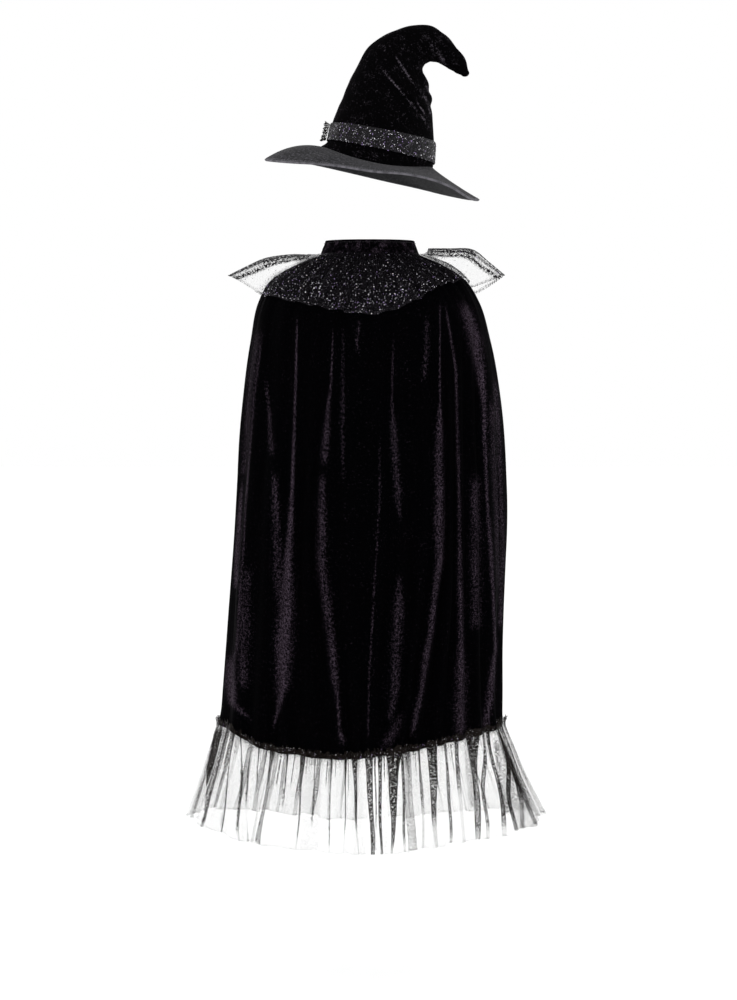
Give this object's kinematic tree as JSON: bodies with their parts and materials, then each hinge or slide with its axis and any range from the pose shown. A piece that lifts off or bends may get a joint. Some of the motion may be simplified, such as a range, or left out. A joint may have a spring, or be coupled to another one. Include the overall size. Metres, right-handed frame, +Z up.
{
  "type": "child's witch costume set of cape and hat",
  "caption": "Pointed velvet hat with a bent tip and felt brim, and a long gathered velvet cape with a stand collar, a net frill over the shoulders and a net frill at the hem.",
  "frame": {"origin": "middle of the neck opening, level with the seam between the stand collar and the cape", "axes": "+Z up, +Y to the wearer's front, +X to the wearer's right"},
  "size_m": [0.5339, 0.3437, 1.2153],
  "materials": {
    "black_velvet": "crushed velvet, matt with soft highlights",
    "black_glitter_net": "sheer net with glitter",
    "charcoal_felt": "matt felt",
    "black_glitter_cloth": "matt with glitter"
  },
  "bodies": {
    "root": {"cape_back": "black_velvet", "cape_left_front": "black_velvet", "cape_right_front": "black_velvet", "stand_collar": "black_velvet", "neck_tab": "black_velvet", "hat_crown": "black_velvet", "shoulder_frill": "black_glitter_net", "hem_frill_back": "black_glitter_net", "hem_frill_left_front": "black_glitter_net", "hem_frill_right_front": "black_glitter_net", "band_frill": "black_glitter_net", "hat_brim": "charcoal_felt", "hat_band": "black_glitter_cloth"}
  },
  "joints": []
}
